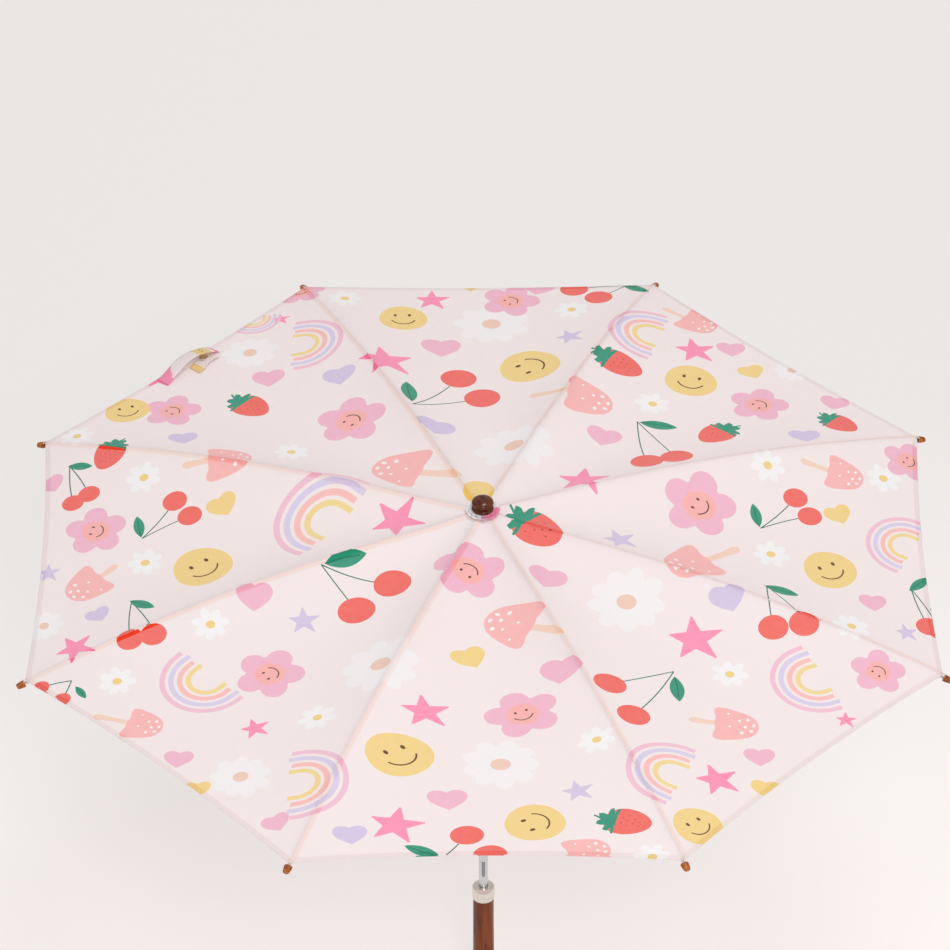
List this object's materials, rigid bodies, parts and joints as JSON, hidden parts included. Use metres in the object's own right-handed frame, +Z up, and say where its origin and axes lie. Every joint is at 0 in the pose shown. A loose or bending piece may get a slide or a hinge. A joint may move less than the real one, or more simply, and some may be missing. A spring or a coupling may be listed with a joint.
{
  "type": "children's stick umbrella",
  "caption": "Children's stick umbrella held open: printed fabric canopy on folding ribs, wooden ferrule and rib tips, steel shaft, sliding runner and crook handle.",
  "frame": {"origin": "on the shaft's axis at the middle of the handle's straight grip", "axes": "+Z up the shaft towards the ferrule, +X towards the open side of the crook, so -Y is the side the closing strap is not on; ribs stand at 22.5 degrees plus multiples of 45"},
  "size_m": [0.7562, 0.7562, 0.5866],
  "materials": {
    "shaft_steel": "satin",
    "wire_steel": "satin",
    "spring_steel": "satin",
    "rib_steel": "satin",
    "tip_wood": "satin",
    "ferrule_wood": "gloss",
    "handle_wood": "gloss",
    "collar_metal": "polished",
    "runner_plastic": "satin",
    "canopy_cloth": "matte",
    "snap_metal": "satin"
  },
  "bodies": {
    "stick": {"shaft_tube": "shaft_steel", "top_notch": "runner_plastic", "notch_wire": "wire_steel", "notch_pin": "wire_steel", "stop_pin": "wire_steel", "ferrule": "ferrule_wood", "outer_rosette": "canopy_cloth", "inner_rosette": "canopy_cloth", "top_catch_pin": "wire_steel", "bottom_catch_pin": "wire_steel", "handle": "handle_wood", "handle_collar": "collar_metal"},
    "runner": {"runner": "runner_plastic", "runner_wire": "wire_steel"},
    "top_catch": {"top_catch": "spring_steel"},
    "bottom_catch": {"bottom_catch": "spring_steel"},
    "rib_1": {"rib_1": "rib_steel", "rib_tip_1": "tip_wood"},
    "stretcher_1": {"stretcher_1": "rib_steel"},
    "panel_1a": {"canopy_1a": "canopy_cloth"},
    "panel_1b": {"canopy_1b": "canopy_cloth"},
    "rib_2": {"rib_2": "rib_steel", "rib_tip_2": "tip_wood"},
    "stretcher_2": {"stretcher_2": "rib_steel"},
    "panel_2a": {"canopy_2a": "canopy_cloth"},
    "panel_2b": {"canopy_2b": "canopy_cloth"},
    "rib_3": {"rib_3": "rib_steel", "rib_tip_3": "tip_wood"},
    "stretcher_3": {"stretcher_3": "rib_steel"},
    "panel_3a": {"canopy_3a": "canopy_cloth"},
    "panel_3b": {"canopy_3b": "canopy_cloth"},
    "rib_4": {"rib_4": "rib_steel", "rib_tip_4": "tip_wood"},
    "stretcher_4": {"stretcher_4": "rib_steel"},
    "panel_4a": {"canopy_4a": "canopy_cloth"},
    "panel_4b": {"canopy_4b": "canopy_cloth"},
    "rib_5": {"rib_5": "rib_steel", "rib_tip_5": "tip_wood"},
    "stretcher_5": {"stretcher_5": "rib_steel"},
    "panel_5a": {"canopy_5a": "canopy_cloth"},
    "panel_5b": {"canopy_5b": "canopy_cloth"},
    "rib_6": {"rib_6": "rib_steel", "rib_tip_6": "tip_wood"},
    "stretcher_6": {"stretcher_6": "rib_steel"},
    "panel_6a": {"canopy_6a": "canopy_cloth"},
    "panel_6b": {"canopy_6b": "canopy_cloth", "closure_strap": "canopy_cloth", "strap_snap": "snap_metal"},
    "rib_7": {"rib_7": "rib_steel", "rib_tip_7": "tip_wood"},
    "stretcher_7": {"stretcher_7": "rib_steel"},
    "panel_7a": {"canopy_7a": "canopy_cloth"},
    "panel_7b": {"canopy_7b": "canopy_cloth"},
    "rib_8": {"rib_8": "rib_steel", "rib_tip_8": "tip_wood"},
    "stretcher_8": {"stretcher_8": "rib_steel"},
    "panel_8a": {"canopy_8a": "canopy_cloth"},
    "panel_8b": {"canopy_8b": "canopy_cloth"}
  },
  "joints": [
    {"name": "runner_slide", "type": "slide", "parent": "stick", "child": "runner", "axis": [0, 0, -1], "range_m": [0, 0.26743], "deforming": ["canopy_1a", "canopy_1b", "canopy_2a", "canopy_2b", "canopy_3a", "canopy_3b", "canopy_4a", "canopy_4b", "canopy_5a", "canopy_5b", "canopy_6a", "canopy_6b", "canopy_7a", "canopy_7b", "canopy_8a", "canopy_8b", "closure_strap", "strap_snap", "top_catch", "bottom_catch"]},
    {"name": "top_catch_press", "type": "hinge", "parent": "stick", "child": "top_catch", "pos_m": [0, 0, 0.30929], "axis": [-1, 0, 0], "range_deg": [0, 6.5], "stiffness_Nm_per_rad": 0.05, "springref_deg": -8.59},
    {"name": "bottom_catch_press", "type": "hinge", "parent": "stick", "child": "bottom_catch", "pos_m": [0, 0, 0.10626], "axis": [1, 0, 0], "range_deg": [0, 6.5], "stiffness_Nm_per_rad": 0.05, "springref_deg": -8.59},
    {"name": "rib_1_fold", "type": "hinge", "parent": "stick", "child": "rib_1", "pos_m": [-0.00344, -0.00831, 0.48], "axis": [0.9239, -0.3827, 0], "range_deg": [0, 82.26]},
    {"name": "stretcher_1_fold", "type": "hinge", "parent": "rib_1", "child": "stretcher_1", "pos_m": [-0.07049, -0.17017, 0.47147], "axis": [0.9239, -0.3827, 0], "range_deg": [-138.76, 0]},
    {"name": "panel_1a_fold", "type": "hinge", "parent": "rib_1", "child": "panel_1a", "pos_m": [-0.00344, -0.00831, 0.48], "axis": [0.3801, 0.9177, 0.1158], "range_deg": [0, 66.82]},
    {"name": "panel_1b_fold", "type": "hinge", "parent": "rib_1", "child": "panel_1b", "pos_m": [-0.00344, -0.00831, 0.48], "axis": [-0.3801, -0.9177, -0.1158], "range_deg": [0, 66.82]},
    {"name": "rib_2_fold", "type": "hinge", "parent": "stick", "child": "rib_2", "pos_m": [0.00344, -0.00831, 0.48], "axis": [0.9239, 0.3827, 0], "range_deg": [0, 82.26]},
    {"name": "stretcher_2_fold", "type": "hinge", "parent": "rib_2", "child": "stretcher_2", "pos_m": [0.07049, -0.17017, 0.47147], "axis": [0.9239, 0.3827, 0], "range_deg": [-138.76, 0]},
    {"name": "panel_2a_fold", "type": "hinge", "parent": "rib_2", "child": "panel_2a", "pos_m": [0.00344, -0.00831, 0.48], "axis": [-0.3801, 0.9177, 0.1158], "range_deg": [0, 66.82]},
    {"name": "panel_2b_fold", "type": "hinge", "parent": "rib_2", "child": "panel_2b", "pos_m": [0.00344, -0.00831, 0.48], "axis": [0.3801, -0.9177, -0.1158], "range_deg": [0, 66.82]},
    {"name": "rib_3_fold", "type": "hinge", "parent": "stick", "child": "rib_3", "pos_m": [0.00831, -0.00344, 0.48], "axis": [0.3827, 0.9239, 0], "range_deg": [0, 82.26]},
    {"name": "stretcher_3_fold", "type": "hinge", "parent": "rib_3", "child": "stretcher_3", "pos_m": [0.17017, -0.07049, 0.47147], "axis": [0.3827, 0.9239, 0], "range_deg": [-138.76, 0]},
    {"name": "panel_3a_fold", "type": "hinge", "parent": "rib_3", "child": "panel_3a", "pos_m": [0.00831, -0.00344, 0.48], "axis": [-0.9177, 0.3801, 0.1158], "range_deg": [0, 66.82]},
    {"name": "panel_3b_fold", "type": "hinge", "parent": "rib_3", "child": "panel_3b", "pos_m": [0.00831, -0.00344, 0.48], "axis": [0.9177, -0.3801, -0.1158], "range_deg": [0, 66.82]},
    {"name": "rib_4_fold", "type": "hinge", "parent": "stick", "child": "rib_4", "pos_m": [0.00831, 0.00344, 0.48], "axis": [-0.3827, 0.9239, 0], "range_deg": [0, 82.26]},
    {"name": "stretcher_4_fold", "type": "hinge", "parent": "rib_4", "child": "stretcher_4", "pos_m": [0.17017, 0.07049, 0.47147], "axis": [-0.3827, 0.9239, 0], "range_deg": [-138.76, 0]},
    {"name": "panel_4a_fold", "type": "hinge", "parent": "rib_4", "child": "panel_4a", "pos_m": [0.00831, 0.00344, 0.48], "axis": [-0.9177, -0.3801, 0.1158], "range_deg": [0, 66.82]},
    {"name": "panel_4b_fold", "type": "hinge", "parent": "rib_4", "child": "panel_4b", "pos_m": [0.00831, 0.00344, 0.48], "axis": [0.9177, 0.3801, -0.1158], "range_deg": [0, 66.82]},
    {"name": "rib_5_fold", "type": "hinge", "parent": "stick", "child": "rib_5", "pos_m": [0.00344, 0.00831, 0.48], "axis": [-0.9239, 0.3827, 0], "range_deg": [0, 82.26]},
    {"name": "stretcher_5_fold", "type": "hinge", "parent": "rib_5", "child": "stretcher_5", "pos_m": [0.07049, 0.17017, 0.47147], "axis": [-0.9239, 0.3827, 0], "range_deg": [-138.76, 0]},
    {"name": "panel_5a_fold", "type": "hinge", "parent": "rib_5", "child": "panel_5a", "pos_m": [0.00344, 0.00831, 0.48], "axis": [-0.3801, -0.9177, 0.1158], "range_deg": [0, 66.82]},
    {"name": "panel_5b_fold", "type": "hinge", "parent": "rib_5", "child": "panel_5b", "pos_m": [0.00344, 0.00831, 0.48], "axis": [0.3801, 0.9177, -0.1158], "range_deg": [0, 66.82]},
    {"name": "rib_6_fold", "type": "hinge", "parent": "stick", "child": "rib_6", "pos_m": [-0.00344, 0.00831, 0.48], "axis": [-0.9239, -0.3827, 0], "range_deg": [0, 82.26]},
    {"name": "stretcher_6_fold", "type": "hinge", "parent": "rib_6", "child": "stretcher_6", "pos_m": [-0.07049, 0.17017, 0.47147], "axis": [-0.9239, -0.3827, 0], "range_deg": [-138.76, 0]},
    {"name": "panel_6a_fold", "type": "hinge", "parent": "rib_6", "child": "panel_6a", "pos_m": [-0.00344, 0.00831, 0.48], "axis": [0.3801, -0.9177, 0.1158], "range_deg": [0, 66.82]},
    {"name": "panel_6b_fold", "type": "hinge", "parent": "rib_6", "child": "panel_6b", "pos_m": [-0.00344, 0.00831, 0.48], "axis": [-0.3801, 0.9177, -0.1158], "range_deg": [0, 66.82]},
    {"name": "rib_7_fold", "type": "hinge", "parent": "stick", "child": "rib_7", "pos_m": [-0.00831, 0.00344, 0.48], "axis": [-0.3827, -0.9239, 0], "range_deg": [0, 82.26]},
    {"name": "stretcher_7_fold", "type": "hinge", "parent": "rib_7", "child": "stretcher_7", "pos_m": [-0.17017, 0.07049, 0.47147], "axis": [-0.3827, -0.9239, 0], "range_deg": [-138.76, 0]},
    {"name": "panel_7a_fold", "type": "hinge", "parent": "rib_7", "child": "panel_7a", "pos_m": [-0.00831, 0.00344, 0.48], "axis": [0.9177, -0.3801, 0.1158], "range_deg": [0, 66.82]},
    {"name": "panel_7b_fold", "type": "hinge", "parent": "rib_7", "child": "panel_7b", "pos_m": [-0.00831, 0.00344, 0.48], "axis": [-0.9177, 0.3801, -0.1158], "range_deg": [0, 66.82]},
    {"name": "rib_8_fold", "type": "hinge", "parent": "stick", "child": "rib_8", "pos_m": [-0.00831, -0.00344, 0.48], "axis": [0.3827, -0.9239, 0], "range_deg": [0, 82.26]},
    {"name": "stretcher_8_fold", "type": "hinge", "parent": "rib_8", "child": "stretcher_8", "pos_m": [-0.17017, -0.07049, 0.47147], "axis": [0.3827, -0.9239, 0], "range_deg": [-138.76, 0]},
    {"name": "panel_8a_fold", "type": "hinge", "parent": "rib_8", "child": "panel_8a", "pos_m": [-0.00831, -0.00344, 0.48], "axis": [0.9177, 0.3801, 0.1158], "range_deg": [0, 66.82]},
    {"name": "panel_8b_fold", "type": "hinge", "parent": "rib_8", "child": "panel_8b", "pos_m": [-0.00831, -0.00344, 0.48], "axis": [-0.9177, -0.3801, -0.1158], "range_deg": [0, 66.82]}
  ],
  "couplings": [
    {"joint": "rib_1_fold", "follows": "runner_slide", "rad_per_m": 5.3678},
    {"joint": "stretcher_1_fold", "follows": "runner_slide", "rad_per_m": -9.0555},
    {"joint": "panel_1a_fold", "follows": "runner_slide", "rad_per_m": 4.3604},
    {"joint": "panel_1b_fold", "follows": "runner_slide", "rad_per_m": 4.3604},
    {"joint": "rib_2_fold", "follows": "runner_slide", "rad_per_m": 5.3678},
    {"joint": "stretcher_2_fold", "follows": "runner_slide", "rad_per_m": -9.0555},
    {"joint": "panel_2a_fold", "follows": "runner_slide", "rad_per_m": 4.3604},
    {"joint": "panel_2b_fold", "follows": "runner_slide", "rad_per_m": 4.3604},
    {"joint": "rib_3_fold", "follows": "runner_slide", "rad_per_m": 5.3678},
    {"joint": "stretcher_3_fold", "follows": "runner_slide", "rad_per_m": -9.0555},
    {"joint": "panel_3a_fold", "follows": "runner_slide", "rad_per_m": 4.3604},
    {"joint": "panel_3b_fold", "follows": "runner_slide", "rad_per_m": 4.3604},
    {"joint": "rib_4_fold", "follows": "runner_slide", "rad_per_m": 5.3678},
    {"joint": "stretcher_4_fold", "follows": "runner_slide", "rad_per_m": -9.0555},
    {"joint": "panel_4a_fold", "follows": "runner_slide", "rad_per_m": 4.3604},
    {"joint": "panel_4b_fold", "follows": "runner_slide", "rad_per_m": 4.3604},
    {"joint": "rib_5_fold", "follows": "runner_slide", "rad_per_m": 5.3678},
    {"joint": "stretcher_5_fold", "follows": "runner_slide", "rad_per_m": -9.0555},
    {"joint": "panel_5a_fold", "follows": "runner_slide", "rad_per_m": 4.3604},
    {"joint": "panel_5b_fold", "follows": "runner_slide", "rad_per_m": 4.3604},
    {"joint": "rib_6_fold", "follows": "runner_slide", "rad_per_m": 5.3678},
    {"joint": "stretcher_6_fold", "follows": "runner_slide", "rad_per_m": -9.0555},
    {"joint": "panel_6a_fold", "follows": "runner_slide", "rad_per_m": 4.3604},
    {"joint": "panel_6b_fold", "follows": "runner_slide", "rad_per_m": 4.3604},
    {"joint": "rib_7_fold", "follows": "runner_slide", "rad_per_m": 5.3678},
    {"joint": "stretcher_7_fold", "follows": "runner_slide", "rad_per_m": -9.0555},
    {"joint": "panel_7a_fold", "follows": "runner_slide", "rad_per_m": 4.3604},
    {"joint": "panel_7b_fold", "follows": "runner_slide", "rad_per_m": 4.3604},
    {"joint": "rib_8_fold", "follows": "runner_slide", "rad_per_m": 5.3678},
    {"joint": "stretcher_8_fold", "follows": "runner_slide", "rad_per_m": -9.0555},
    {"joint": "panel_8a_fold", "follows": "runner_slide", "rad_per_m": 4.3604},
    {"joint": "panel_8b_fold", "follows": "runner_slide", "rad_per_m": 4.3604}
  ]
}
